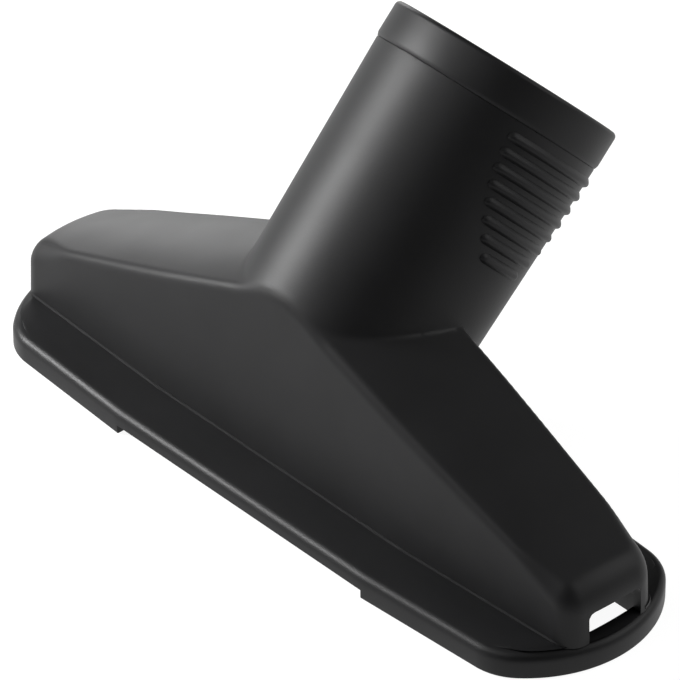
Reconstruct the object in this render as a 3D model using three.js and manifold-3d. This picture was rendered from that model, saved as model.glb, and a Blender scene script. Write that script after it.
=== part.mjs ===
// Upholstery nozzle for a vacuum cleaner: a wide flat sole under a hood that funnels into a socket
// leaning back at 45 degrees. Millimetres, +Z up, +X along the sole, -Y towards the front edge.
import * as THREE from "three";
import { mergeVertices } from "three/addons/utils/BufferGeometryUtils.js";
import Module from "manifold-3d";

const wasm = await Module();
wasm.setup();

// Sole: straight in the middle, slightly tapered towards rounded ends.
const SOLE = { halfLength: 66.5, halfWidth: 20.05, endRadius: 22.2, cornerRadius: 10, taper: 0.06 };
const SOLE_HEIGHT = 4.9;
const STRAIGHT_HALF = 29; // long edges run straight this far each way, then taper per mm of length
const RELIEF_HEIGHT = 1.65; // air gap under the middle of the long edges
const DECK = 1.7; // thickness of the sole over the strip channels
const CHANNEL = { halfLength: 50, inner: 9.9, outer: 16.9 };

// Hood: near-upright walls, a roof falling from the socket to both ends, open underneath.
const HOOD = { halfLength: 65.2, halfWidth: 11.4, endRadius: 80, cornerRadius: 3.6, taper: 0.05 };
const WALL = 1.7;
const DRAFT = 0.0354; // rear and end walls lean in by this much per mm of height
const FRONT_DRAFT = 0.003; // the front wall is all but upright
const ROOF_FRONT = { y: -11.3, top: 38.5, fall: 0.394 };
const ROOF_REAR = { y: 10.3, top: 41.0, fall: 0.443 };
const ROOF_CROWN = 1.6; // rise of the roof between its two ridges
const ROOF_END = { run: 3.6, past: 0.5, drop: 3.4 }; // rounding from the roof into the end wall
const ROOF_WALL = 2.2; // the sloping roof's thickness, measured upright
const SEAM = 0.3; // clearance between neighbouring pieces
const WINDOW = { halfWidth: 5.4, height: 4.9, cornerRadius: 1.2 };
const MOUTH = { halfLength: 63.2, halfWidth: 8.5, endRadius: 80, cornerRadius: 2.5, taper: 0 };
const RAIL = { halfLength: 28, inner: 8.5, outer: 9.3, height: 3 }; // rails that locate the hood

// Socket: its axis leans back at 45 degrees; heights along it are measured from the axis's foot.
const LEAN = Math.PI / 4;
const NECK_FOOT_Y = -21.97;
const RIM = 83.65;
const NECK = { topRadius: 20.05, lowRadius: 18.5, lowAt: 13.7 };
const COLLAR = { height: 6.3, radius: 20.3, lip: 1.35 };
const SOCKET = { rimRadius: 17.6, stopRadius: 17.3, depth: 38, airRadius: 16 };
const SPIGOT_RADIUS = 18.9; // the neck's reduced end, which carries the collar

// Finger ribs on both sides of the socket.
const RIB = { count: 8, pitch: 2.6, height: 1.25, proud: 0.45, sunk: 0.6, first: 8.6 };
const RIB_SPAN = { middle: 91, half: 37.3, narrowing: 0.43, halfLeft: 26 }; // degrees round from the front

// Velour lint strips on clip-in carriers, one each side of the suction mouth.
const CARRIER = { bottom: 1.5, height: 1.4 };
const STRIP = { bottom: 0.25, height: 0.95, margin: 0.5 };

const ARC_STEPS = 10;
const ROUND_STEPS = 72;

// three.js geometry to a manifold solid, and back to a geometry.
function solid(geometry) {
  const bare = geometry.index ? geometry.toNonIndexed() : geometry.clone();
  bare.deleteAttribute("normal");
  bare.deleteAttribute("uv");
  const merged = mergeVertices(bare, 1e-4);
  const mesh = new wasm.Mesh({
    numProp: 3,
    vertProperties: merged.attributes.position.array,
    triVerts: new Uint32Array(merged.index.array),
  });
  return new wasm.Manifold(mesh);
}

function geometryOf(made) {
  const mesh = made.getMesh();
  const geometry = new THREE.BufferGeometry();
  geometry.setAttribute("position", new THREE.BufferAttribute(mesh.vertProperties, 3));
  geometry.setIndex(new THREE.BufferAttribute(mesh.triVerts, 1));
  return geometry;
}

// Barrel outline, moved in by inset: an end arc about a point on the X axis, a corner fillet, a tapered
// edge and a straight one, worked out for one quarter and mirrored to the other three.
function barrel({ halfLength, halfWidth, endRadius, cornerRadius, taper }, inset) {
  const centre = new THREE.Vector2(halfLength - endRadius, 0);
  const corner = Math.max(cornerRadius - inset, 0.8);
  const edgeNormal = new THREE.Vector2(taper, 1).normalize();
  const edge = new THREE.Vector2(STRAIGHT_HALF, halfWidth - inset);
  const reach = endRadius - inset - corner;
  const across = edgeNormal.dot(edge) - corner - edgeNormal.dot(centre);
  const along = new THREE.Vector2(edgeNormal.y, -edgeNormal.x);
  const fillet = centre.clone().addScaledVector(edgeNormal, across);
  fillet.addScaledVector(along, Math.sqrt(reach * reach - across * across));
  const turn = Math.atan2(fillet.y - centre.y, fillet.x - centre.x);
  const quarter = [];
  for (let i = 0; i <= ARC_STEPS; i++) {
    const a = (turn * i) / ARC_STEPS;
    const r = endRadius - inset;
    quarter.push(new THREE.Vector2(centre.x + r * Math.cos(a), r * Math.sin(a)));
  }
  for (let i = 1; i <= ARC_STEPS; i++) {
    const a = turn + ((edgeNormal.angle() - turn) * i) / ARC_STEPS;
    quarter.push(new THREE.Vector2(fillet.x + corner * Math.cos(a), fillet.y + corner * Math.sin(a)));
  }
  quarter.push(edge);
  const half = [...quarter];
  for (const p of [...quarter].reverse()) half.push(new THREE.Vector2(-p.x, p.y));
  const other = half.slice(1, -1).reverse();
  return [...half, ...other.map((p) => new THREE.Vector2(p.x, -p.y))];
}

// Upright prism on an outline, between two heights.
function upright(outline, bottom, top) {
  const shape = new THREE.Shape(outline);
  const geometry = new THREE.ExtrudeGeometry(shape, { depth: top - bottom, bevelEnabled: false });
  return geometry.translate(0, 0, bottom);
}

function prism(outline, bottom, top) {
  return solid(upright(outline, bottom, top));
}

// Prism on the hood's outline, moved in by inset at the hood's foot. Its walls keep the hood's
// draft above and below the foot: the rear and end walls lean in, the front wall barely does.
function betweenWalls(inset, bottom, top) {
  const foot = SOLE_HEIGHT + SEAM;
  const wider = DRAFT * (foot - bottom);
  const halfWidth = HOOD.halfWidth - inset + wider;
  const geometry = upright(barrel(HOOD, inset - wider), bottom, top);
  const position = geometry.attributes.position;
  for (let i = 0; i < position.count; i++) {
    const x = position.getX(i);
    const y = position.getY(i);
    const lean = DRAFT * (position.getZ(i) - bottom);
    const front = HOOD.halfWidth - inset - FRONT_DRAFT * (position.getZ(i) - foot);
    const kept = (y < 0 ? front : halfWidth - lean) / halfWidth;
    position.setX(i, Math.sign(x) * Math.max(Math.abs(x) - lean, 0));
    position.setY(i, y * kept);
  }
  return solid(geometry);
}

function box(low, high) {
  const size = high.map((v, i) => v - low[i]);
  const geometry = new THREE.BoxGeometry(...size);
  return solid(geometry.translate(...low.map((v, i) => v + size[i] / 2)));
}

// Height of the roof: straight from the front ridge to the rear one, rounded down at the ends.
function roofHeight(x, y) {
  const front = ROOF_FRONT.top - ROOF_FRONT.fall * Math.abs(x);
  const rear = ROOF_REAR.top - ROOF_REAR.fall * Math.abs(x);
  const share = (y - ROOF_FRONT.y) / (ROOF_REAR.y - ROOF_FRONT.y);
  const crown = 4 * ROOF_CROWN * share * (1 - share);
  const into = (Math.abs(x) - HOOD.halfLength - ROOF_END.past + ROOF_END.run) / ROOF_END.run;
  const turn = Math.sqrt(1 - Math.min(Math.max(into, 0), 1) ** 2);
  return front + (rear - front) * share + crown - ROOF_END.drop * (1 - turn);
}

// Everything under the roof, lowered by drop and shortened by inset: a box whose top follows it.
function underRoof(drop, inset) {
  const stations = [0];
  for (let i = 0; i <= 6; i++) {
    const turn = Math.sin((i * Math.PI) / 12);
    stations.push(HOOD.halfLength + ROOF_END.past - ROOF_END.run + ROOF_END.run * turn);
  }
  const n = 2 * stations.length;
  const geometry = new THREE.BoxGeometry(n, 2, 2, n, 6, 1);
  const position = geometry.attributes.position;
  for (let i = 0; i < position.count; i++) {
    const column = Math.round(position.getX(i));
    const station = stations[Math.abs(column)] ?? HOOD.halfLength + 3;
    const x = Math.sign(column) * station;
    const y = position.getY(i) * (HOOD.halfWidth + 1);
    const z = position.getZ(i) < 0 ? -1 : roofHeight(x, y) - drop;
    position.setXYZ(i, Math.sign(x) * Math.max(Math.abs(x) - inset, 0), y, z);
  }
  return solid(geometry);
}

// Space behind the hood's drafted front wall, moved back by inset.
function behindFront(inset) {
  const depth = 120;
  const height = 90;
  const geometry = new THREE.BoxGeometry(depth, depth, height);
  geometry.translate(0, depth / 2, height / 2);
  const position = geometry.attributes.position;
  for (let i = 0; i < position.count; i++) {
    const lean = FRONT_DRAFT * position.getZ(i);
    if (position.getY(i) < 1) position.setY(i, -HOOD.halfWidth + inset + lean);
  }
  return solid(geometry.translate(0, 0, SOLE_HEIGHT + SEAM));
}

// Turned solid about the socket's leaning axis, from [radius, height] points closed on the axis.
function turned(points) {
  const profile = points.map(([radius, height]) => new THREE.Vector2(radius, height));
  const geometry = new THREE.LatheGeometry(profile, ROUND_STEPS);
  return solid(geometry.rotateX(LEAN).translate(0, NECK_FOOT_Y, 0));
}

function neckRadius(height) {
  const share = (height - NECK.lowAt) / (RIM - 5 - NECK.lowAt);
  return NECK.lowRadius + (NECK.topRadius - NECK.lowRadius) * share;
}

// One rib: a ring sector round the neck's side; lower ribs span less.
function rib(index, side) {
  const height = RIM - RIB.first - RIB.pitch * index;
  const outer = neckRadius(height) + RIB.proud;
  const widest = side > 0 ? RIB_SPAN.half : RIB_SPAN.halfLeft;
  const half = Math.min(RIB_SPAN.half - RIB_SPAN.narrowing * index * index, widest);
  const from = THREE.MathUtils.degToRad(side * RIB_SPAN.middle - 90 - half);
  const to = THREE.MathUtils.degToRad(side * RIB_SPAN.middle - 90 + half);
  const shape = new THREE.Shape();
  shape.absarc(0, 0, outer, from, to, false);
  shape.absarc(0, 0, outer - RIB.proud - RIB.sunk, to, from, true);
  const geometry = new THREE.ExtrudeGeometry(shape, {
    depth: RIB.height,
    bevelEnabled: false,
    curveSegments: 14,
  });
  geometry.translate(0, 0, height - RIB.height).rotateX(LEAN - Math.PI / 2);
  return solid(geometry.translate(0, NECK_FOOT_Y, 0));
}

// Hood and neck in one moulding: a shell open underneath, with an air window in each end wall.
function makeHood() {
  const bottom = SOLE_HEIGHT + SEAM;
  const top = ROOF_REAR.top + 1;
  const walls = betweenWalls(0, bottom, top);
  const cavity = betweenWalls(WALL, bottom - 30, top); // starts well below, so the foot is cut clean
  const neckEnd = RIM - COLLAR.lip - SEAM;
  const shoulder = RIM - COLLAR.height - SEAM;
  const neck = turned([
    [0, 5],
    [neckRadius(5), 5],
    [neckRadius(shoulder), shoulder],
    [SPIGOT_RADIUS, shoulder],
    [SPIGOT_RADIUS, neckEnd],
    [0, neckEnd],
  ]);
  const stop = RIM - SOCKET.depth;
  const bore = turned([
    [0, 5],
    [SOCKET.airRadius, 5],
    [SOCKET.airRadius, stop],
    [SOCKET.stopRadius, stop],
    [SOCKET.rimRadius, RIM + 1],
    [0, RIM + 1],
  ]);
  let outside = walls.intersect(underRoof(0, 0)).add(neck.intersect(behindFront(0)));
  for (const side of [-1, 1]) {
    for (let i = 0; i < RIB.count; i++) outside = outside.add(rib(i, side));
  }
  const inside = cavity.intersect(underRoof(ROOF_WALL, WALL)).add(bore.intersect(behindFront(WALL)));
  return outside.subtract(inside).subtract(windows(bottom - 1));
}

// Air windows through both end walls, with round upper corners.
function windows(bottom) {
  const { halfWidth, height, cornerRadius } = WINDOW;
  const top = SOLE_HEIGHT + height;
  const roundAt = halfWidth - cornerRadius;
  const shape = new THREE.Shape();
  shape.moveTo(-halfWidth, bottom);
  shape.lineTo(halfWidth, bottom);
  shape.absarc(roundAt, top - cornerRadius, cornerRadius, 0, Math.PI / 2, false);
  shape.absarc(-roundAt, top - cornerRadius, cornerRadius, Math.PI / 2, Math.PI, false);
  const reach = 8;
  const geometry = new THREE.ExtrudeGeometry(shape, { depth: reach, bevelEnabled: false, curveSegments: 6 });
  geometry.rotateX(Math.PI / 2).rotateZ(Math.PI / 2);
  const right = solid(geometry.translate(HOOD.halfLength - reach + 2, 0, 0));
  return right.add(right.translate([-2 * HOOD.halfLength + reach - 4, 0, 0]));
}

// Sole: a deck with a skirt, the suction mouth, two strip channels and two rails inside the hood.
function makeSole() {
  let sole = prism(barrel(SOLE, 0), 0, SOLE_HEIGHT);
  sole = sole.subtract(prism(barrel(MOUTH, 0), -1, SOLE_HEIGHT + 1));
  const { halfLength, inner, outer } = CHANNEL;
  for (const side of [-1, 1]) {
    const railLow = Math.min(side * RAIL.inner, side * RAIL.outer);
    const railHigh = Math.max(side * RAIL.inner, side * RAIL.outer);
    const railTop = SOLE_HEIGHT + RAIL.height;
    sole = sole.add(box([-RAIL.halfLength, railLow, DECK], [RAIL.halfLength, railHigh, railTop]));
    const near = Math.min(side * inner, side * outer);
    const far = Math.max(side * inner, side * outer);
    sole = sole.subtract(box([-halfLength, near, -1], [halfLength, far, SOLE_HEIGHT - DECK]));
    const low = side < 0 ? -SOLE.halfWidth - 1 : outer - 1;
    const high = side < 0 ? -outer + 1 : SOLE.halfWidth + 1;
    sole = sole.subtract(box([-STRAIGHT_HALF, low, -1], [STRAIGHT_HALF, high, RELIEF_HEIGHT]));
  }
  return sole;
}

// Collar: a ring pushed over the neck's reduced end, its lip covering the end face.
function makeCollar() {
  const bottom = RIM - COLLAR.height;
  const chamfer = 0.5;
  const body = turned([
    [0, bottom],
    [COLLAR.radius, bottom],
    [COLLAR.radius, RIM - chamfer],
    [COLLAR.radius - chamfer, RIM],
    [0, RIM],
  ]);
  const seat = turned([
    [0, bottom - 1],
    [SPIGOT_RADIUS + SEAM, bottom - 1],
    [SPIGOT_RADIUS + SEAM, RIM - COLLAR.lip],
    [SOCKET.rimRadius, RIM - COLLAR.lip],
    [SOCKET.rimRadius, RIM + 1],
    [0, RIM + 1],
  ]);
  return body.subtract(seat);
}

// Carrier: a flat bar that fills its channel with a small clearance all round.
function makeCarrier(side) {
  const middle = (side * (CHANNEL.inner + CHANNEL.outer)) / 2;
  const halfLength = CHANNEL.halfLength - SEAM;
  const halfWidth = (CHANNEL.outer - CHANNEL.inner) / 2 - SEAM;
  const { bottom, height } = CARRIER;
  return box([-halfLength, middle - halfWidth, bottom], [halfLength, middle + halfWidth, bottom + height]);
}

// Lint strip: a band of short velour pile under its carrier.
function makeStrip(side) {
  const middle = (side * (CHANNEL.inner + CHANNEL.outer)) / 2;
  const halfLength = CHANNEL.halfLength - SEAM - STRIP.margin;
  const halfWidth = (CHANNEL.outer - CHANNEL.inner) / 2 - SEAM - STRIP.margin;
  const { bottom, height } = STRIP;
  return box([-halfLength, middle - halfWidth, bottom], [halfLength, middle + halfWidth, bottom + height]);
}

const blackPlastic = new THREE.MeshStandardMaterial({ color: 0x1c1d1e, roughness: 0.55, metalness: 0 });
const darkVelour = new THREE.MeshStandardMaterial({ color: 0x2a2b2e, roughness: 1, metalness: 0 });

const nozzle = new THREE.Group();
// The origin lies on the ground under the middle of the whole nozzle's footprint.
const rearmost = NECK_FOOT_Y + (RIM - 0.5 + COLLAR.radius) * Math.SQRT1_2;
nozzle.position.y = (SOLE.halfWidth - rearmost) / 2;

function addPiece(name, made, material) {
  const mesh = new THREE.Mesh(geometryOf(made), material);
  mesh.name = name;
  nozzle.add(mesh);
}

addPiece("hood_shell", makeHood(), blackPlastic);
addPiece("sole_plate", makeSole(), blackPlastic);
addPiece("end_collar", makeCollar(), blackPlastic);
addPiece("front_strip_carrier", makeCarrier(-1), blackPlastic);
addPiece("rear_strip_carrier", makeCarrier(1), blackPlastic);
addPiece("front_lint_strip", makeStrip(-1), darkVelour);
addPiece("rear_lint_strip", makeStrip(1), darkVelour);

export default nozzle;
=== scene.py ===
import math

import bpy
import numpy as np
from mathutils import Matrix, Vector


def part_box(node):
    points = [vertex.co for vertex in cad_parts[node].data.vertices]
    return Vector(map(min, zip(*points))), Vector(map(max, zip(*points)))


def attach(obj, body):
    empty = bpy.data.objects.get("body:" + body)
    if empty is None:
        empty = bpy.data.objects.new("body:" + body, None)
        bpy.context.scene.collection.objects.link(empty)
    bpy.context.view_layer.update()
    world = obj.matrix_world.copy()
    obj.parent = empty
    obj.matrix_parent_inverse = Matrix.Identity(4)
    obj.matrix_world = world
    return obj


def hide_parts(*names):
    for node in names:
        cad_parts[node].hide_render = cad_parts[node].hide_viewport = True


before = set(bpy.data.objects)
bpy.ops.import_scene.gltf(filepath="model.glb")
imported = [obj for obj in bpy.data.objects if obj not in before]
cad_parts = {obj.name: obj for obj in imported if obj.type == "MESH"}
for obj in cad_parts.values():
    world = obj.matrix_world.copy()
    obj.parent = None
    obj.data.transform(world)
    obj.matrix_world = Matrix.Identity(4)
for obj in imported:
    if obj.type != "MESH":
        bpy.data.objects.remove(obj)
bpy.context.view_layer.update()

# ---------------------------------------------------------------- camera
# A long lens in front of the nozzle's right end and above it, looking down at about 35 degrees.
# Meshes are worked out in millimetres from the sole's centre on the ground, so the distance from
# the frame's origin to that centre is read from the frame first.
sole_low, sole_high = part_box("sole_plate")
centre_y = (sole_low.y + sole_high.y) / 2
camera_data = bpy.data.cameras.new("camera")
camera_data.lens = 379.2
camera_data.sensor_width = 36
camera_data.clip_end = 20
camera = bpy.data.objects.new("camera", camera_data)
camera.location = (0.68075, -0.61028 + centre_y, 0.67808)
camera.rotation_euler = (math.radians(90 - 35.57), 0, math.radians(48.04))
bpy.context.scene.collection.objects.link(camera)
bpy.context.scene.camera = camera

# ---------------------------------------------------------------- hood and neck
# The main moulding, injected in one shot in black ABS: a hood open underneath that funnels the
# air up into a neck leaning back at 45 degrees, with an air window in each end wall. Its mould
# is spark-eroded, which leaves a fine even grain all over.
MM = 0.001
SOLE_HEIGHT = 4.9
FOOT_LEVEL = SOLE_HEIGHT - 0.5  # the hood's foot is let a little way into the sole
HALF_LENGTH = 65.2
HALF_WIDTH = 11.4
STRAIGHT_HALF = 29  # the long walls run straight this far each way, then taper
EDGE_TAPER = 0.05
TAPER_EASE = 6
END_RADIUS = 80
DRAFT = 0.0354  # lean of the rear and end walls per mm of height
FRONT_DRAFT = 0.003
FRONT_TOP_Y = -11.3
REAR_TOP_Y = 10.3
ROOF_FRONT = (38.5, 0.394)  # height of the front ridge at the middle, and its fall per mm
ROOF_REAR = (41.0, 0.443)
ROOF_CROWN = 1.6
ROOF_PEAK = 3  # eases the fold between the two falls, inside the neck
ROOF_SLOPE = 0.92  # cosine of the roof's fall, so that depths under it are true ones
HOOD_WALL = 1.7
CORNER_RADII = (4.2, 2.4)  # upright corners, outside and inside
RIDGE_RADIUS = 1.2
RIDGE_GROWTH = 2.0  # added to the ridges' radius near the ends
RIDGE_GROWS = (52, 10)  # where that starts, and over what length
NECK_FRONT_RADIUS = 0.9  # edge between the neck and the front wall
CREASE_RADIUS = 0.45  # between the neck and the roof
INNER_ROUND = 1.0
LEAN = math.radians(45)
NECK_FOOT_Y = -21.97
RIM = 83.65
SHOULDER = 77.1
SPIGOT_END = 82
SPIGOT_RADIUS = 18.9
SOCKET_STOP = 45.65
NECK_LOW = (18.5, 13.7)  # radius, and the height where it is measured
NECK_OPENING = 1.55 / 65
SOCKET_RADIUS = 17.3
SOCKET_OPENING = 0.3 / 38
AIR_RADIUS = 16
WINDOW = (5.4, 9.8, 1.2)  # half width, top and corner radius
WINDOW_FROM = 58  # the cut for a window starts this far out


def round_meet(a, b, radius):
    """Depth in the overlap of two solids, with the edge between them rounded to a radius."""
    both = np.hypot(np.maximum(a + radius, 0), np.maximum(b + radius, 0))
    return np.minimum(np.maximum(a, b), -radius) + both


def round_join(a, b, radius):
    """Depth in two solids joined, with the crease between them filled to a radius."""
    both = np.hypot(np.maximum(radius - a, 0), np.maximum(radius - b, 0))
    return np.maximum(np.minimum(a, b), radius) - both


def along_neck(x, y, z):
    """Height along the neck's axis, from its foot, and distance from that axis."""
    height = (y - NECK_FOOT_Y) * math.sin(LEAN) + z * math.cos(LEAN)
    forward = z * math.sin(LEAN) - (y - NECK_FOOT_Y) * math.cos(LEAN)
    return height, np.hypot(x, forward)


def neck_radius(height):
    """Outside of the neck: a cone, its low radius plus the opening times the height above it."""
    return NECK_LOW[0] + NECK_OPENING * (height - NECK_LOW[1])


def roof_height(x, y):
    """Straight from the front ridge to the rear one, each falling to both ends, plus the crown.

    The share across is 0 at the front ridge and 1 at the rear one, and the crown is a parabola.
    """
    away = np.hypot(x, ROOF_PEAK)
    front = ROOF_FRONT[0] - ROOF_FRONT[1] * away
    rear = ROOF_REAR[0] - ROOF_REAR[1] * away
    share = (y - FRONT_TOP_Y) / (REAR_TOP_Y - FRONT_TOP_Y)
    return front + (rear - front) * share + 4 * ROOF_CROWN * share * (1 - share)


def hood_side(x, y, z, inset, draft):
    """Depth behind a long wall: straight in the middle, run in towards the ends, drafted."""
    beyond = np.abs(x) - STRAIGHT_HALF
    half_width = HALF_WIDTH - EDGE_TAPER * (beyond + np.hypot(beyond, TAPER_EASE)) / 2
    return y - half_width + draft * (z - SOLE_HEIGHT) + inset


def hood_body(x, y, z, inset, corner, ridge):
    """Depth in the hood without its front wall: rear wall, bowed end walls and roof."""
    bow = np.hypot(np.abs(x) - HALF_LENGTH + END_RADIUS, y) - END_RADIUS
    end = bow + DRAFT * (z - SOLE_HEIGHT) + inset
    walls = round_meet(hood_side(x, y, z, inset, DRAFT), end, corner)
    return round_meet(walls, (z - roof_height(x, y)) * ROOF_SLOPE + inset, ridge)


def hood_depth(x, y, z):
    """Depth in the whole moulding: hood and neck, less the air space, the socket and the windows."""
    height, distance = along_neck(x, y, z)
    near_end = np.clip((np.abs(x) - RIDGE_GROWS[0]) / RIDGE_GROWS[1], 0, 1)
    ridge = RIDGE_RADIUS + RIDGE_GROWTH * near_end * near_end * (3 - 2 * near_end)
    neck = np.where(height < SHOULDER, distance - neck_radius(height), distance - SPIGOT_RADIUS)
    neck = np.maximum(neck, height - SPIGOT_END)
    body = hood_body(x, y, z, 0, CORNER_RADII[0], ridge)
    on_neck = np.clip((body - neck) / 2 + 0.5, 0, 1)
    front_edge = ridge + (NECK_FRONT_RADIUS - ridge) * on_neck
    outside = round_join(body, neck, CREASE_RADIUS)
    outside = round_meet(outside, hood_side(x, -y, z, 0, FRONT_DRAFT), front_edge)
    socket = distance - SOCKET_RADIUS - SOCKET_OPENING * (height - SOCKET_STOP)
    bore = np.minimum(distance - AIR_RADIUS, np.maximum(socket, SOCKET_STOP - height))
    space = hood_body(x, y, z, HOOD_WALL, CORNER_RADII[1], INNER_ROUND)
    space = round_join(space, bore, INNER_ROUND * 0.6)
    space = round_meet(space, hood_side(x, -y, z, HOOD_WALL, FRONT_DRAFT), INNER_ROUND)
    window = round_meet(np.abs(y) - WINDOW[0], z - WINDOW[1], WINDOW[2])
    window = np.maximum(window, WINDOW_FROM - np.abs(x))
    shell = np.maximum(np.maximum(outside, -space), -window)
    return np.maximum(shell, FOOT_LEVEL - z)


def skin_of(depth, low, high, cell):
    """Closed skin where a depth function changes sign, as one vertex in each grid cell it crosses.

    Each grid edge that the skin crosses gives a point and a slope there, found by halving the
    edge. A cell's vertex is where the planes of its crossings come closest to meeting, which
    keeps true edges sharp, and each crossed edge makes a face of the four cells round it.
    """
    halvings, nudge = 12, cell / 60
    pull_to_mean, furthest = 0.04, 0.6 * cell
    low = np.array(low, float)
    counts = np.ceil((np.array(high, float) - low) / cell).astype(int) + 1
    grid = np.meshgrid(*[low[i] + cell * np.arange(counts[i]) for i in range(3)], indexing="ij")
    inside = depth(*grid) < 0
    points, owners = [], []
    for axis in range(3):
        ahead = np.moveaxis(inside, axis, 0)
        crossed = np.moveaxis(ahead[1:] != ahead[:-1], 0, axis)
        start = np.argwhere(crossed)
        step = np.eye(3)[axis] * cell
        near = low + start * cell
        far = near + step
        near_in = inside[tuple(start.T)]
        for _ in range(halvings):
            middle = (near + far) / 2
            same = (depth(*middle.T) < 0) == near_in
            near = np.where(same[:, None], middle, near)
            far = np.where(same[:, None], far, middle)
        points.append((near + far) / 2)
        second, third = np.eye(3, dtype=int)[[(axis + 1) % 3, (axis + 2) % 3]]
        ring = np.stack([start, start - second, start - second - third, start - third], axis=1)
        owners.append(np.ravel_multi_index(tuple(np.moveaxis(ring, 2, 0)), counts))
    points = np.concatenate(points)
    cells, corner = np.unique(np.concatenate(owners), return_inverse=True)
    corner = corner.reshape(-1, 4)
    slope = np.stack(
        [depth(*(points + nudge * d).T) - depth(*(points - nudge * d).T) for d in np.eye(3)], axis=1
    )
    slope /= np.linalg.norm(slope, axis=1)[:, None] + 1e-12
    owner = corner.ravel()

    def gather(values):
        """Sum over each cell of what its crossed edges carry."""
        return np.bincount(owner, weights=np.repeat(values, 4), minlength=len(cells))

    number = gather(np.ones(len(points)))
    mean = np.stack([gather(points[:, i]) for i in range(3)], axis=1) / number[:, None]
    pull = np.zeros((len(cells), 3))
    matrix = np.zeros((len(cells), 3, 3))
    for i in range(3):
        for j in range(3):
            matrix[:, i, j] = gather(slope[:, i] * slope[:, j])
            pull[:, i] += gather(slope[:, i] * slope[:, j] * points[:, j])
    pull -= np.einsum("nij,nj->ni", matrix, mean)
    matrix += pull_to_mean * number[:, None, None] * np.eye(3)
    shift = np.linalg.solve(matrix, pull[:, :, None])[:, :, 0]
    vertices = mean + np.clip(shift, -furthest, furthest)
    a, b, c, d = (vertices[corner[:, i]] for i in range(4))
    turned = np.einsum("ij,ij->i", np.cross(c - a, d - b), slope) < 0
    corner[turned] = corner[turned][:, ::-1]
    return vertices, corner


SHARP_TURN = 32  # degrees; faces that turn by more than this meet in a crisp edge


def make_piece(name, vertices, faces, material, body, slot_name, replaced, sharp=SHARP_TURN):
    """Mesh object from points about the sole's centre, riding on a body in place of its CAD nodes."""
    mesh = bpy.data.meshes.new(name)
    places = np.asarray(vertices, float) * MM + np.array([0, centre_y, 0])
    faces = np.asarray(faces, int)
    mesh.vertices.add(len(places))
    mesh.vertices.foreach_set("co", places.ravel())
    mesh.loops.add(faces.size)
    mesh.loops.foreach_set("vertex_index", faces.ravel())
    mesh.polygons.add(len(faces))
    mesh.polygons.foreach_set("loop_start", np.arange(0, faces.size, faces.shape[1]))
    mesh.update(calc_edges=True)
    mesh.validate()
    mesh.polygons.foreach_set("use_smooth", np.ones(len(mesh.polygons), bool))
    mesh.set_sharp_from_angle(angle=math.radians(sharp))
    mesh.materials.append(material)
    piece = bpy.data.objects.new(name, mesh)
    bpy.context.scene.collection.objects.link(piece)
    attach(piece, body)
    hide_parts(*replaced)
    return piece


def moulded_black(name, colour, roughness, grain_size, grain_height):
    """Spark-eroded black plastic: fine grain, with a faint drift in its colour and its sheen."""
    tint_patches, sheen_patches = 0.009, 0.012
    darkest, palest, sheen_drift = 0.86, 1.16, 0.015
    material = bpy.data.materials.new(name)
    material.use_nodes = True
    nodes, links = material.node_tree.nodes, material.node_tree.links
    shader = nodes["Principled BSDF"]
    place = nodes.new("ShaderNodeTexCoord").outputs["Object"]

    def noise(size, detail):
        """Even noise over the object, its patches about a size across in metres."""
        texture = nodes.new("ShaderNodeTexNoise")
        texture.inputs["Scale"].default_value = 1 / size
        texture.inputs["Detail"].default_value = detail
        links.new(place, texture.inputs["Vector"])
        return texture.outputs["Fac"]

    def spread(source, low, high):
        """Noise's usual values, 0.3 to 0.7, spread from low to high."""
        ramp = nodes.new("ShaderNodeMapRange")
        ramp.inputs["From Min"].default_value = 0.3
        ramp.inputs["From Max"].default_value = 0.7
        ramp.inputs["To Min"].default_value = low
        ramp.inputs["To Max"].default_value = high
        links.new(source, ramp.inputs["Value"])
        return ramp.outputs["Result"]

    tint = nodes.new("ShaderNodeMix")
    tint.data_type = "RGBA"
    tint.inputs["A"].default_value = (*[c * darkest for c in colour], 1)
    tint.inputs["B"].default_value = (*[c * palest for c in colour], 1)
    links.new(spread(noise(tint_patches, 3), 0, 1), tint.inputs["Factor"])
    links.new(tint.outputs["Result"], shader.inputs["Base Color"])
    rough = spread(noise(sheen_patches, 2), roughness - sheen_drift, roughness + sheen_drift)
    links.new(rough, shader.inputs["Roughness"])
    grain = nodes.new("ShaderNodeBump")
    grain.inputs["Strength"].default_value = 1
    grain.inputs["Distance"].default_value = grain_height
    links.new(noise(grain_size, 2), grain.inputs["Height"])
    links.new(grain.outputs["Normal"], shader.inputs["Normal"])
    shader.inputs["Specular IOR Level"].default_value = 0.2
    return material


GRAIN = (0.00032, 0.000012)  # metres across and high
shell_black = moulded_black("shell_black_grain", (0.006, 0.006, 0.0064), 0.5, *GRAIN)
HOOD_GRID = ((-66.4, -12.6, 3.7), (66.4, 51.3, 72.9), 0.62)  # lowest and highest corner, and cell
hood_skin = skin_of(hood_depth, *HOOD_GRID)
make_piece("hood_and_neck", *hood_skin, shell_black, "nozzle", "shell_plastic", ["hood_shell"])

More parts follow.
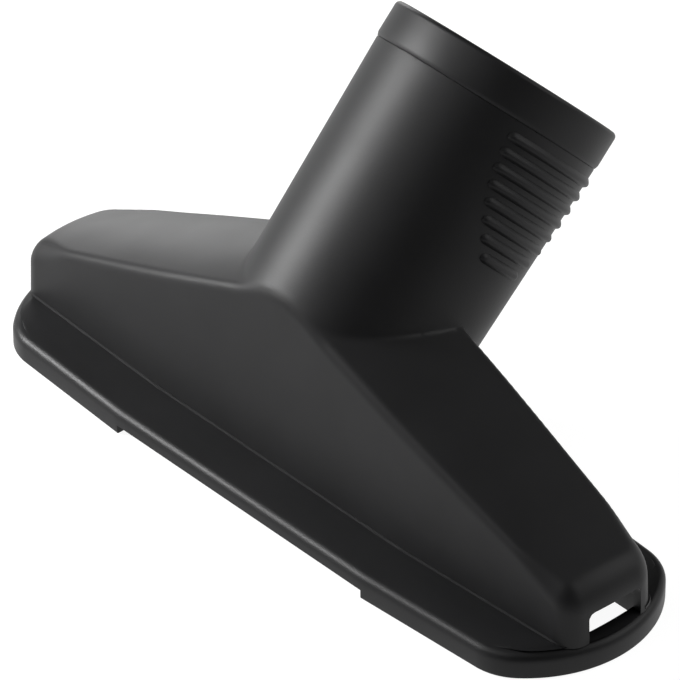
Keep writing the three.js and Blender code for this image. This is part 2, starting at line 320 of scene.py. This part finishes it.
# ---------------------------------------------------------------- finger ribs
# Eight low bars round each side of the neck, cut into the mould's sliding halves: soft on the
# side towards the rim and crisp below, where the fingers pull. Lower bars are shorter.
RIB_COUNT = 8
RIB_PITCH = 2.6
RIB_FIRST = 8.6  # from the rim down to the first bar's lower edge
RIB_PROUD = 0.6
RIB_MIDDLE = 91  # degrees round from the neck's front line
RIB_HALF_SPAN = 37.3  # degrees, of the top bar
RIB_SHORTER = 0.43  # degrees less on each bar down, times the square of its number
RIB_LEFT_SPAN = 26  # the bars on the left start further round
RIB_TO_MIDDLE = 0.62  # from a bar's lower edge to the middle of its section
RIB_END_ROUND = 1.3
RIB_END_HEIGHT = 0.35  # share of its height that a bar keeps at its very end
RIB_RADIUS = 20  # turns an angle round the neck into a length along a bar
RIB_SECTION = ((-0.78, -0.5), (-0.78, -0.1), (-0.66, 0.12), (-0.5, 0.5), (-0.34, 0.82), (-0.14, 0.97),
               (0.1, 1.0), (0.36, 0.86), (0.64, 0.56), (0.9, 0.22), (1.12, -0.12), (1.25, -0.5))


def finger_rib(index, side):
    """One bar: its section of height and proudness, carried round the neck and shrunk at both ends.

    At an end the section shrinks as a quarter circle does, over the end's rounding.
    """
    half = RIB_HALF_SPAN - RIB_SHORTER * index**2
    if side < 0:
        half = min(half, RIB_LEFT_SPAN)
    middle = math.radians(side * RIB_MIDDLE)
    angle = middle + math.radians(half) * np.linspace(-1, 1, 61)
    centre = RIM - RIB_FIRST - RIB_PITCH * index - RIB_TO_MIDDLE
    from_end = (math.radians(half) - np.abs(angle - middle)) * RIB_RADIUS
    end = np.sqrt(np.clip(1 - (1 - np.clip(from_end / RIB_END_ROUND, 0.03, 1)) ** 2, 0, 1))
    section = np.array(RIB_SECTION)
    kept = RIB_END_HEIGHT + (1 - RIB_END_HEIGHT) * end[:, None]
    height = centre + section[None, :, 0] * kept
    lift = np.where(section[None, :, 1] > 0, section[None, :, 1] * end[:, None], section[None, :, 1])
    radius = neck_radius(height) + RIB_PROUD * lift
    forward = radius * np.cos(angle)[:, None]
    x = radius * np.sin(angle)[:, None]
    y = NECK_FOOT_Y + height * math.sin(LEAN) - forward * math.cos(LEAN)
    z = height * math.cos(LEAN) + forward * math.sin(LEAN)
    return np.stack([x, y, z], axis=-1)


def grid_faces(rows, columns, wrap_rows, wrap_columns):
    """Faces of a grid of points numbered row by row, closed round either way where asked."""
    r = np.arange(rows if wrap_rows else rows - 1)[:, None]
    c = np.arange(columns if wrap_columns else columns - 1)[None, :]
    r2, c2 = (r + 1) % rows, (c + 1) % columns
    quads = np.stack([r * columns + c, r2 * columns + c, r2 * columns + c2, r * columns + c2], axis=-1)
    return quads.reshape(-1, 4)


def capped_bar(points):
    """Bar from rings of points: the grid between the rings, and a ladder of quads over each end."""
    rows, columns = points.shape[:2]
    faces = [grid_faces(rows, columns, False, True)]
    half = np.arange(columns // 2 - 1)
    for start, turn in ((0, 1), ((rows - 1) * columns, -1)):
        cap = np.stack([half, half + 1, columns - 2 - half, columns - 1 - half], axis=-1) + start
        faces.append(cap[:, ::turn])
    return points.reshape(-1, 3), np.concatenate(faces)


def outward(vertices, faces):
    """The same faces, turned over if the volume that they enclose comes out negative."""
    a, b, c, d = (vertices[faces[:, i]] for i in range(4))
    volume = np.einsum("ij,ij->i", a, np.cross(b, c)) + np.einsum("ij,ij->i", a, np.cross(c, d))
    return faces if volume.sum() > 0 else faces[:, ::-1]


def gathered(parts):
    """Several closed pieces as one mesh's vertices and faces, each facing outwards."""
    vertices, faces, count = [], [], 0
    for points, quads in parts:
        vertices.append(points)
        faces.append(outward(points, quads) + count)
        count += len(points)
    return np.concatenate(vertices), np.concatenate(faces)


ribs = [capped_bar(finger_rib(index, side)) for side in (-1, 1) for index in range(RIB_COUNT)]
make_piece("finger_ribs", *gathered(ribs), shell_black, "nozzle", "shell_plastic", ["hood_shell"], 50)

# ---------------------------------------------------------------- end collar
# A moulded ring pushed over the neck's reduced end, a hair prouder than the neck below it, with
# a rounded rim and a lip that covers the neck's end face.
COLLAR_RADIUS = 20.25
COLLAR_BORE = 19.0
LIP_RADIUS = 17.6
RIM_ROUNDS = (0.8, 0.45)  # outside and inside
SEAM_GAP = 0.06


def arc(centre, radius, first, last, steps=8):
    """Points on an arc in a section, from one angle to another in degrees."""
    angle = np.radians(np.linspace(first, last, steps))
    return np.stack([centre[0] + radius * np.cos(angle), centre[1] + radius * np.sin(angle)], axis=1)


def turned_ring(section, steps):
    """A closed section of radius and height turned once round the neck's axis."""
    radius, height = section[:, 0], section[:, 1]
    angle = np.linspace(0, 2 * math.pi, steps, endpoint=False)[:, None]
    forward = radius * np.cos(angle)
    y = NECK_FOOT_Y + height * math.sin(LEAN) - forward * math.cos(LEAN)
    z = height * math.cos(LEAN) + forward * math.sin(LEAN)
    points = np.stack([radius * np.sin(angle), y, z], axis=-1)
    return points.reshape(-1, 3), grid_faces(steps, len(section), True, True)


at_seam = neck_radius(SHOULDER)
under_lip = SPIGOT_END + 0.2
collar_section = np.concatenate([
    [(COLLAR_BORE, SHOULDER + SEAM_GAP), (at_seam - 0.03, SHOULDER + SEAM_GAP)],
    [(at_seam + 0.03, SHOULDER + 0.14), (COLLAR_RADIUS - 0.05, SHOULDER + 0.55)],
    [(COLLAR_RADIUS, SHOULDER + 0.8), (COLLAR_RADIUS, SHOULDER + 3.4)],
    arc((COLLAR_RADIUS - RIM_ROUNDS[0], RIM - RIM_ROUNDS[0]), RIM_ROUNDS[0], 0, 90, 10),
    arc((LIP_RADIUS + RIM_ROUNDS[1], RIM - RIM_ROUNDS[1]), RIM_ROUNDS[1], 90, 180, 6),
    [(LIP_RADIUS, under_lip), (18.3, under_lip), (COLLAR_BORE, under_lip)],
])
make_piece("end_collar_ring", *gathered([turned_ring(collar_section, 288)]), shell_black, "nozzle",
           "shell_plastic", ["end_collar"], 50)

# ---------------------------------------------------------------- foot of the hood
# A small flare moulded round the foot of the hood's long walls, where the hood is welded to the
# sole. It stops short of the air windows.
FOOT = dict(half_length=HALF_LENGTH, half_width=HALF_WIDTH, end_radius=END_RADIUS,
            corner_radius=CORNER_RADII[0], taper=EDGE_TAPER)
FLARE_ROOT = -0.3  # the flare's root lies this deep inside the wall
FOOT_FLARE = ((FLARE_ROOT, 0.42), (0.02, 0.35), (0.08, 0.21), (0.14, 0.08), (0.17, 0.01),
              (0.17, -0.15), (FLARE_ROOT, -0.15), (FLARE_ROOT, 0.1))
FLARE_FADE = (1.5, 0.4)  # how fast it comes in as the wall turns forward, and from where
FLARE_SUNK = 0.3  # share of itself by which a faded flare lies inside the wall


def barrel(half_length, half_width, end_radius, corner_radius, taper):
    """Closed outline and its normals: end arcs, corner fillets, tapered edges and straight middles.

    The corner's centre is at the fillet's radius inside both the end arc and the tapered edge.
    One quarter is worked out from the X axis round to the Y axis, and mirrored to the others.
    """
    centre_x = half_length - end_radius
    across_edge = np.array([taper, 1]) / math.hypot(taper, 1)
    reach = end_radius - corner_radius
    across = across_edge @ (STRAIGHT_HALF, half_width) - corner_radius - across_edge[0] * centre_x
    inward = math.sqrt(reach**2 - across**2)
    corner = np.array([centre_x, 0]) + across_edge * across + inward * across_edge[::-1] * (1, -1)
    turn = math.atan2(corner[1], corner[0] - centre_x)
    slant = math.atan2(*across_edge[::-1])
    end_angle = np.linspace(0, turn, 22)[:-1]
    corner_angle = np.linspace(turn, slant, 26)
    end = np.array([centre_x, 0]) + end_radius * np.stack([np.cos(end_angle), np.sin(end_angle)], 1)
    fillet = corner + corner_radius * np.stack([np.cos(corner_angle), np.sin(corner_angle)], 1)
    edge_x = np.linspace(fillet[-1, 0], STRAIGHT_HALF, 24)[1:]
    edge = np.stack([edge_x, half_width - taper * (edge_x - STRAIGHT_HALF)], 1)
    middle_x = np.linspace(STRAIGHT_HALF, 0, 24)[1:]
    middle = np.stack([middle_x, np.full(23, half_width)], 1)
    quarter = np.concatenate([end, fillet, edge, middle])
    angle = np.concatenate([end_angle, corner_angle, np.full(23, slant), np.full(23, math.pi / 2)])
    normal = np.stack([np.cos(angle), np.sin(angle)], 1)
    half = np.concatenate([quarter, quarter[-2::-1] * (-1, 1)])
    half_normal = np.concatenate([normal, normal[-2::-1] * (-1, 1)])
    outline = np.concatenate([half, half[-2:0:-1] * (1, -1)])
    return outline, np.concatenate([half_normal, half_normal[-2:0:-1] * (1, -1)])


def foot_flare(side):
    """Small flare at the foot of the hood's wall, carried round from one window to the other.

    It stands out in full where the outline faces forward or back, and fades out at the ends: its
    share rises in a straight line with the part of the wall's normal that points forward or back.
    """
    outline, normal = barrel(**FOOT)
    keep = outline[:, 1] * side > WINDOW[0] + 1
    outline, normal = outline[keep], normal[keep]
    order = np.argsort(-outline[:, 0] * side, kind="stable")
    outline, normal = outline[order], normal[order]
    section = np.array(FOOT_FLARE)
    full = np.clip(normal[:, 1] * side * FLARE_FADE[0] - FLARE_FADE[1], 0, 1)
    shown = (1 + FLARE_SUNK) * full[:, None] - FLARE_SUNK
    flare = np.where(section[None, :, 0] > 0, section[None, :, 0] * shown, FLARE_ROOT)
    points = outline[:, None, :] + flare[:, :, None] * normal[:, None, :]
    height = np.broadcast_to(SOLE_HEIGHT + section[:, 1], points.shape[:2])
    return np.concatenate([points, height[:, :, None]], axis=2)


feet = [capped_bar(foot_flare(side)) for side in (-1, 1)]
make_piece("hood_foot", *gathered(feet), shell_black, "nozzle", "shell_plastic", ["hood_shell"], 50)

# ---------------------------------------------------------------- sole
# The lower moulding: a flat flange round the suction mouth with a rounded upper edge. Its
# underside has a long channel on each side of the mouth for a strip carrier, and the middle of
# both long edges is relieved so that some air always gets in. Two low rails locate the hood.
SOLE = dict(half_length=66.5, half_width=20.05, end_radius=22.2, corner_radius=10, taper=0.06)
MOUTH = dict(half_length=63.2, half_width=8.5, end_radius=80, corner_radius=2.5, taper=0.0)
EDGE_HEIGHT = 4.45
SKIRT_HEIGHT = 2.4
UNDER_HOOD = 0.25  # share of the flange's width that the hood covers
EDGE_ROUNDS = (1.6, 0.35, 0.3)  # upper edge, lower edge, and the mouth's edges


def flange_height(share):
    """Top of the flange from the mouth to its rim: level under the hood, then easing down.

    Past the hood it falls with the power 1.5 of the share of the way to the rim.
    """
    fall = np.clip((share - UNDER_HOOD) / (1 - UNDER_HOOD), 0, 1)
    return SOLE_HEIGHT - (SOLE_HEIGHT - EDGE_HEIGHT) * fall**1.5


def sole_ring():
    """The flange: a section carried round between the mouth's outline and the outer one."""
    outer, outward_normal = barrel(**SOLE)
    inner, inner_normal = barrel(**MOUTH)
    top, bottom, rounding = EDGE_ROUNDS
    rows = []
    for inset, height in arc((top, EDGE_HEIGHT - top), top, 90, 180, 10):
        rows.append((outer, outward_normal, inset, height))
    rows.append((outer, outward_normal, 0, SKIRT_HEIGHT))
    for inset, height in arc((bottom, bottom), bottom, 180, 270, 6):
        rows.append((outer, outward_normal, inset, height))
    for inset, height in arc((-rounding, rounding), rounding, -90, 0, 5):
        rows.append((inner, inner_normal, inset, height))
    for inset, height in arc((-rounding, SOLE_HEIGHT - rounding), rounding, 0, 90, 5):
        rows.append((inner, inner_normal, inset, height))
    for share in (0.3, 0.45, 0.6, 0.75):
        rows.append((inner + (outer - inner) * share, inner_normal, 0, flange_height(share)))
    points = np.stack([
        np.column_stack([outline - inset * normal, np.full(len(outline), height)])
        for outline, normal, inset, height in rows
    ])
    return points.reshape(-1, 3), grid_faces(len(rows), len(outer), True, True)


def block(low, high):
    """Plain box between two corners, as a cutter or a strip's backing."""
    corners = np.array([[low[0], high[0]], [low[1], high[1]], [low[2], high[2]]], float)
    pick = np.array([[i, j, k] for i in (0, 1) for j in (0, 1) for k in (0, 1)])
    quads = np.array([[0, 1, 3, 2], [4, 6, 7, 5], [0, 4, 5, 1], [2, 3, 7, 6], [0, 2, 6, 4], [1, 5, 7, 3]])
    return corners[np.arange(3), pick], quads


def cut_by(piece, parts):
    """Takes closed solids out of a piece and leaves the result in its mesh."""
    tool_mesh = bpy.data.meshes.new("tool")
    vertices, faces = gathered(parts)
    places = vertices * MM + np.array([0, centre_y, 0])
    tool_mesh.from_pydata(places.tolist(), [], faces.tolist())
    tool = bpy.data.objects.new("tool", tool_mesh)
    bpy.context.scene.collection.objects.link(tool)
    cut = piece.modifiers.new("cut", "BOOLEAN")
    cut.object, cut.operation, cut.solver = tool, "DIFFERENCE", "EXACT"
    bpy.context.view_layer.update()
    made = bpy.data.meshes.new_from_object(piece.evaluated_get(bpy.context.evaluated_depsgraph_get()))
    piece.modifiers.remove(cut)
    piece.data = made
    made.polygons.foreach_set("use_smooth", np.ones(len(made.polygons), bool))
    made.set_sharp_from_angle(angle=math.radians(SHARP_TURN))
    bpy.data.objects.remove(tool)


sole_black = moulded_black("sole_black_grain", (0.0052, 0.0052, 0.0056), 0.46, *GRAIN)
sole = make_piece("sole_flange", *gathered([sole_ring()]), sole_black, "nozzle", "sole_plastic",
                  ["sole_plate"])
CHANNEL = (50, 9.9, 16.9, 3.2)  # half length, inner and outer side, and depth
RELIEF = (STRAIGHT_HALF, 16, 21, 1.65)
channels, reliefs = [], []
for side in (-1, 1):
    near, far = sorted((side * CHANNEL[1], side * CHANNEL[2]))
    channels.append(block((-CHANNEL[0], near, -1), (CHANNEL[0], far, CHANNEL[3])))
    near, far = sorted((side * RELIEF[1], side * RELIEF[2]))
    reliefs.append(block((-RELIEF[0], near, -2), (RELIEF[0], far, RELIEF[3])))
cut_by(sole, channels)
cut_by(sole, reliefs)

RAIL_HALF_LENGTH = 28
RAIL_AT = 8.9
RAIL_HALF_WIDTH = 0.4
RAIL_HEIGHT = 3
RAIL_ROOT = 0.6  # let into the sole


def rail(side):
    """Low upright rail inside the hood's long wall, which locates the hood.

    A section with straight sides and a half-round top, carried along X.
    """
    round_at = RAIL_HEIGHT - RAIL_HALF_WIDTH
    top = arc((0, round_at), RAIL_HALF_WIDTH, 180, 0, 8)
    section = np.concatenate([[(-RAIL_HALF_WIDTH, 0)], top, [(RAIL_HALF_WIDTH, 0)]])
    x = np.linspace(-RAIL_HALF_LENGTH, RAIL_HALF_LENGTH, 29)
    points = np.empty((len(x), len(section), 3))
    points[:, :, 0] = x[:, None]
    points[:, :, 1] = side * (RAIL_AT + section[:, 0])
    points[:, :, 2] = SOLE_HEIGHT - RAIL_ROOT + section[:, 1]
    return points


rails = [capped_bar(rail(side)) for side in (-1, 1)]
make_piece("sole_rails", *gathered(rails), sole_black, "nozzle", "sole_plastic", ["sole_plate"], 40)

# ---------------------------------------------------------------- strip carriers
# Two flat bars in plain black plastic that snap into the sole's channels. Each has a pull notch
# at both ends, snap beads on its long edges, and dimples underneath that key the strip's glue.
carrier_black = moulded_black("carrier_black_grain", (0.03, 0.03, 0.032), 0.42, 0.0005, 0.000008)
CARRIER_MIDDLE = (CHANNEL[1] + CHANNEL[2]) / 2
CARRIER_HALF = (49.7, 3.2, 0.7)  # half length, half width and half thickness
CARRIER_LEVEL = 2.2
CARRIER_ROUNDS = (1.2, 0.25)  # corners and edges
NOTCH = (1.5, 1.2)  # radius, and the height it starts at
DIMPLE = (1.1, 1.8)  # radius, and the height it reaches
DIMPLE_PITCH = 8.0
BEAD = (3.15, 2.3, 0.3)  # distance from the bar's middle line, height and radius
BEAD_SPAN = (30, 6)  # middle and half length of each bead along the bar
CARRIER_CELL = 0.3


def carrier_depth(side):
    """Depth in a carrier: a rounded bar, less its end notches and dimples, plus its snap beads."""

    def depth(x, y, z):
        across = y - side * CARRIER_MIDDLE
        bar = round_meet(np.abs(x) - CARRIER_HALF[0], np.abs(across) - CARRIER_HALF[1], CARRIER_ROUNDS[0])
        bar = round_meet(bar, np.abs(z - CARRIER_LEVEL) - CARRIER_HALF[2], CARRIER_ROUNDS[1])
        from_tip = np.hypot(np.abs(x) - CARRIER_HALF[0] - 0.2, across)
        notch = np.maximum(from_tip - NOTCH[0], NOTCH[1] - z)
        along = x - DIMPLE_PITCH * np.round(x / DIMPLE_PITCH)
        dimple = np.maximum(np.hypot(along, across) - DIMPLE[0], z - DIMPLE[1])
        bead = np.hypot(np.abs(across) - BEAD[0], z - BEAD[1]) - BEAD[2]
        bead = np.maximum(bead, np.abs(np.abs(x) - BEAD_SPAN[0]) - BEAD_SPAN[1])
        return np.minimum(np.maximum(np.maximum(bar, -notch), -dimple), bead)

    return depth


for side, place in ((-1, "front"), (1, "rear")):
    low = (-51, side * CARRIER_MIDDLE - 4.2, 1.0)
    high = (51, side * CARRIER_MIDDLE + 4.2, 3.4)
    bar_skin = skin_of(carrier_depth(side), low, high, CARRIER_CELL)
    make_piece(place + "_carrier_bar", *bar_skin, carrier_black, place + "_lifter", "carrier_plastic",
               [place + "_strip_carrier"])

# ---------------------------------------------------------------- lint strips
# A band of short velour pile glued under each carrier, with its nap leaning towards the mouth so
# that it catches threads and hair one way and lets them go the other.


def velour_pile():
    """Charcoal pile fibre: a soft sheen, and a tint that changes from tuft to tuft."""
    dark_tuft, pale_tuft = (0.018, 0.018, 0.021, 1), (0.05, 0.05, 0.056, 1)
    material = bpy.data.materials.new("charcoal_velour")
    material.use_nodes = True
    nodes, links = material.node_tree.nodes, material.node_tree.links
    shader = nodes["Principled BSDF"]
    place = nodes.new("ShaderNodeTexCoord").outputs["Object"]
    patches = nodes.new("ShaderNodeTexNoise")
    patches.inputs["Scale"].default_value = 900
    patches.inputs["Detail"].default_value = 3
    links.new(place, patches.inputs["Vector"])
    tint = nodes.new("ShaderNodeMix")
    tint.data_type = "RGBA"
    tint.inputs["A"].default_value = dark_tuft
    tint.inputs["B"].default_value = pale_tuft
    links.new(patches.outputs["Fac"], tint.inputs["Factor"])
    links.new(tint.outputs["Result"], shader.inputs["Base Color"])
    shader.inputs["Roughness"].default_value = 0.95
    shader.inputs["Sheen Weight"].default_value = 0.35
    shader.inputs["Sheen Roughness"].default_value = 0.4
    return material


velour = velour_pile()
STRIP_HALF = (49.2, 2.7)  # half length and half width of the backing
BACKING = (1.0, 1.45)  # its underside and its top
TUFT_PITCH = (0.45, 0.445)
TUFT_REACH = (48.9, 2.45)  # how far out the tufts stand each way
TUFT_JITTER = 0.1
TUFT_LENGTH = (0.62, 0.8)
TUFT_LEAN = (0.08, 0.3)
TUFT_TOP = 1.05


def lint_strip(side, seed):
    """Woven backing with rows of leaning tufts: each a four-sided spike in three rings, jittered.

    A ring moves sideways with its share of the tuft's length, and towards the mouth with the
    power 1.5 of that share.
    """
    low = (-STRIP_HALF[0], side * CARRIER_MIDDLE - STRIP_HALF[1], BACKING[0])
    high = (STRIP_HALF[0], side * CARRIER_MIDDLE + STRIP_HALF[1], BACKING[1])
    rng = np.random.default_rng(seed)
    along = np.arange(-TUFT_REACH[0], TUFT_REACH[0] + 0.05, TUFT_PITCH[0])
    across = np.arange(-TUFT_REACH[1], TUFT_REACH[1] + 0.05, TUFT_PITCH[1])
    x, y = (v.ravel() for v in np.meshgrid(along, across, indexing="ij"))
    x = x + rng.uniform(-TUFT_JITTER, TUFT_JITTER, x.size)
    y = y + rng.uniform(-TUFT_JITTER, TUFT_JITTER, y.size)
    length = rng.uniform(*TUFT_LENGTH, x.size)
    lean = -side * rng.uniform(*TUFT_LEAN, x.size)
    sway = rng.uniform(-TUFT_JITTER, TUFT_JITTER, x.size)
    corner = np.radians(np.array([45, 135, 225, 315]))[None, None, :]
    share = np.array([0, 0.55, 1])[None, :, None]
    radius = np.array([0.2, 0.17, 0.05])[None, :, None]
    px = x[:, None, None] + sway[:, None, None] * share + radius * np.cos(corner)
    py = side * CARRIER_MIDDLE + y[:, None, None] + lean[:, None, None] * share**1.5
    py = py + radius * np.sin(corner)
    pz = np.broadcast_to(TUFT_TOP - length[:, None, None] * share, px.shape)
    tufts = np.stack([px, py, pz], axis=-1).reshape(-1, 3)
    sides = grid_faces(3, 4, False, True)
    one = np.concatenate([sides[:, ::-1], [[0, 1, 2, 3]], [[8, 11, 10, 9]]])
    faces = (one[None] + 12 * np.arange(x.size)[:, None, None]).reshape(-1, 4)
    return [(tufts, faces), block(low, high)]


for side, place in ((-1, "front"), (1, "rear")):
    strip = gathered(lint_strip(side, 5 + side))
    make_piece(place + "_velour_strip", *strip, velour, place + "_lifter", "velour",
               [place + "_lint_strip"], 60)

# ---------------------------------------------------------------- floor and light
# A plain floor lit evenly from beneath, like a light table, so that it is white all round. A
# small near light on the left streaks the neck, and broad weak ones shape the rest.
FLOOR_LEVEL = -0.0002  # just clear of the sole's flat underside
FLOOR_GREY = 0.12
FLOOR_GLOW = 0.94
floor_mesh = bpy.data.meshes.new("floor")
corners = [(-6, -6, FLOOR_LEVEL), (6, -6, FLOOR_LEVEL), (6, 6, FLOOR_LEVEL), (-6, 6, FLOOR_LEVEL)]
floor_mesh.from_pydata(corners, [], [(0, 1, 2, 3)])
floor = bpy.data.objects.new("floor", floor_mesh)
floor_paint = bpy.data.materials.new("pale_floor")
floor_paint.use_nodes = True
floor_shader = floor_paint.node_tree.nodes["Principled BSDF"]
floor_shader.inputs["Base Color"].default_value = (FLOOR_GREY, FLOOR_GREY, FLOOR_GREY, 1)
floor_shader.inputs["Roughness"].default_value = 0.9
floor_shader.inputs["Emission Color"].default_value = (1, 1, 1, 1)
floor_shader.inputs["Emission Strength"].default_value = FLOOR_GLOW
floor_mesh.materials.append(floor_paint)
bpy.context.scene.collection.objects.link(floor)

AIM = Vector((0, 0, 0.03))


def soft_light(name, place, size, power):
    """Square area light aimed at the nozzle's middle: place and size in metres, power in watts."""
    data = bpy.data.lights.new(name, "AREA")
    data.shape, data.size, data.energy = "SQUARE", size, power
    light = bpy.data.objects.new(name, data)
    light.location = place
    light.rotation_euler = (Vector(place) - AIM).to_track_quat("Z", "Y").to_euler()
    bpy.context.scene.collection.objects.link(light)


soft_light("key_left", (-0.32, -0.238, 0.218), 0.13, 4.1)
soft_light("low_back_left", (-1.2, 0.7, 0.11), 0.45, 5.8)
soft_light("left_card", (-1.15, 0.14, 0.4), 0.5, 0.6)
soft_light("front_top", (-0.06, -0.66, 1.0), 0.5, 2.2)
soft_light("overhead", (0.2, 0.3, 1.4), 1.5, 1.3)
soft_light("fill_back_right", (0.8, 0.78, 0.84), 1.0, 8)
soft_light("behind", (0.35, 1.3, 0.55), 0.6, 2)

world = bpy.data.worlds.new("studio")
world.use_nodes = True
world.node_tree.nodes["Background"].inputs["Color"].default_value = (1, 1, 1, 1)
world.node_tree.nodes["Background"].inputs["Strength"].default_value = 0.06
bpy.context.scene.world = world
bpy.context.scene.view_settings.view_transform = "Standard"
